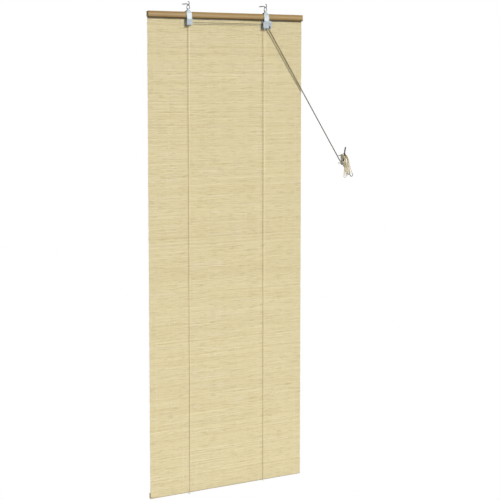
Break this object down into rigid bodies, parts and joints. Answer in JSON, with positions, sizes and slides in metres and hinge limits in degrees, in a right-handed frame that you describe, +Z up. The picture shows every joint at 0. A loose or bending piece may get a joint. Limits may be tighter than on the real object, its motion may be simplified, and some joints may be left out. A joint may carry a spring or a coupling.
{
  "type": "bamboo roll up blind",
  "caption": "Reed mat blind under a flat wooden rail, hung on wall hooks, with lift cords over wheels, a cord lock and a wall cleat.",
  "frame": {"origin": "on the wall face, midway between the two hook shanks and on their axis", "axes": "+X to the right along the rail as seen from the room, +Y into the wall, +Z up"},
  "size_m": [0.8075, 0.0552, 1.6411],
  "materials": {
    "rail_wood": "clear satin varnish on brown wood",
    "bamboo_reed": "raw pale reed",
    "cotton_thread": "undyed thread",
    "zinc_steel": "zinc plated sheet",
    "bright_steel": "bright plated wire",
    "dark_steel": "dark grey rod",
    "wheel_plastic": "moulded",
    "cord_fibre": "twisted beige cord"
  },
  "bodies": {
    "blind_frame": {"head_rail": "rail_wood", "back_slat": "rail_wood", "reed_mat": "bamboo_reed", "warp_threads": "cotton_thread", "rail_nails": "bright_steel", "strap_screws": "bright_steel", "cleat_screws": "bright_steel", "left_wall_hook": "bright_steel", "right_wall_hook": "bright_steel", "left_hanging_ring": "zinc_steel", "right_hanging_ring": "zinc_steel", "left_hanger_strap": "zinc_steel", "right_lock_strap": "zinc_steel", "left_inner_cheek": "zinc_steel", "right_inner_cheek": "zinc_steel", "spacer_rivets": "zinc_steel", "left_axle": "zinc_steel", "right_axle": "zinc_steel", "pawl_pin": "zinc_steel", "guide_post": "zinc_steel", "left_lift_cord": "cord_fibre", "right_lift_cord": "cord_fibre", "left_pull_cord": "cord_fibre", "right_pull_cord": "cord_fibre", "cord_turns": "cord_fibre", "cord_hank": "cord_fibre", "cleat": "dark_steel"},
    "bottom_bar": {"bottom_bar": "rail_wood"},
    "left_wheel": {"left_wheel": "wheel_plastic"},
    "right_front_wheel": {"right_front_wheel": "wheel_plastic"},
    "right_back_wheel": {"right_back_wheel": "wheel_plastic"},
    "lock_pawl": {"lock_pawl": "zinc_steel"}
  },
  "joints": [
    {"name": "blind_raise", "type": "slide", "parent": "blind_frame", "child": "bottom_bar", "axis": [0, 0, 1], "range_m": [0, 1.43], "deforming": ["reed_mat", "warp_threads", "left_lift_cord", "right_lift_cord"]},
    {"name": "left_wheel_turn", "type": "hinge", "parent": "blind_frame", "child": "left_wheel", "pos_m": [-0.145, -0.0195, -0.0645], "axis": [0, 1, 0], "continuous": true},
    {"name": "right_front_wheel_turn", "type": "hinge", "parent": "blind_frame", "child": "right_front_wheel", "pos_m": [0.1475, -0.0195, -0.0645], "axis": [0, 1, 0], "continuous": true},
    {"name": "right_back_wheel_turn", "type": "hinge", "parent": "blind_frame", "child": "right_back_wheel", "pos_m": [0.1475, -0.0195, -0.0645], "axis": [0, 1, 0], "continuous": true},
    {"name": "lock_pawl_swing", "type": "hinge", "parent": "blind_frame", "child": "lock_pawl", "pos_m": [0.164, -0.0195, -0.057], "axis": [0, 1, 0], "range_deg": [-25, 0]}
  ],
  "couplings": [
    {"joint": "left_wheel_turn", "follows": "blind_raise", "rad_per_m": 500},
    {"joint": "right_front_wheel_turn", "follows": "blind_raise", "rad_per_m": 500},
    {"joint": "right_back_wheel_turn", "follows": "blind_raise", "rad_per_m": 500}
  ]
}
